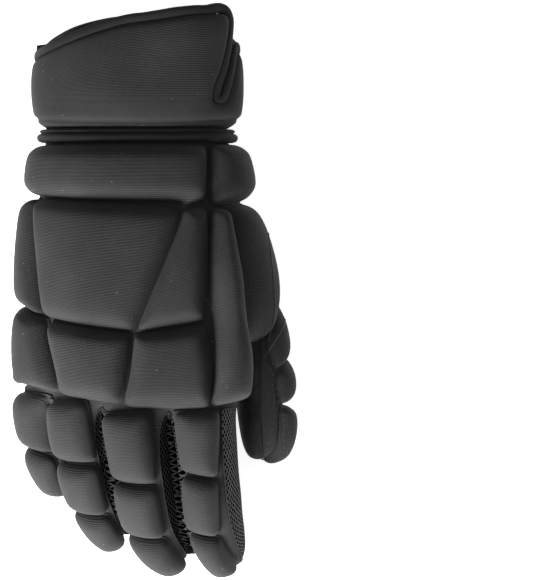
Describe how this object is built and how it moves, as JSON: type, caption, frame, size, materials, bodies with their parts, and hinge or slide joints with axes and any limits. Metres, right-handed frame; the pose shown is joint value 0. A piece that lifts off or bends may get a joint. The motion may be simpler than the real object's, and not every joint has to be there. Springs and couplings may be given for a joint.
{
  "type": "ball hockey glove",
  "caption": "Right-hand padded sports glove in black knit with foam pads on the back, mesh gussets, suede palm and a strapped cuff.",
  "frame": {"origin": "middle of the glove's footprint on the floor", "axes": "fingers towards -Y, cuff towards +Y, thumb towards +X, back of the hand up towards +Z"},
  "size_m": [0.1382, 0.2756, 0.0687],
  "materials": {
    "knit": "matt",
    "suede": "matt",
    "mesh": "matt",
    "roll": "matt",
    "neoprene": "matt",
    "binding": "matt",
    "loop_pile": "matt",
    "strap_web": "matt",
    "label_face": "satin"
  },
  "bodies": {
    "root": {"back_shell": "knit", "palm": "suede", "thumb_palm": "suede", "mesh_pinky": "mesh", "mesh_ring": "mesh", "mesh_middle": "mesh", "mesh_index": "mesh", "wrist_roll": "roll", "cuff": "neoprene", "cuff_binding": "binding", "loop_panel": "loop_pile", "strap": "strap_web", "label": "label_face", "band_pad": "knit", "band_side_pad": "knit", "wrist_pad": "knit", "main_plate": "knit", "wedge_plate": "knit", "pinky_side_plate": "knit", "index_side_plate": "knit", "thumb_side_plate": "knit", "pinky_knuckle": "knit", "middle_knuckle": "knit", "index_knuckle": "knit", "pinky_pad_1": "knit", "pinky_pad_2": "knit", "ring_pad_1": "knit", "ring_pad_2": "knit", "ring_pad_3": "knit", "middle_pad_1": "knit", "middle_pad_2": "knit", "middle_pad_3": "knit", "index_pad_1": "knit", "index_pad_2": "knit", "index_pad_3": "knit", "thumb_pad_1": "knit", "thumb_pad_2": "knit", "thumb_pad_3": "knit", "thumb_pad_4": "knit"}
  },
  "joints": []
}
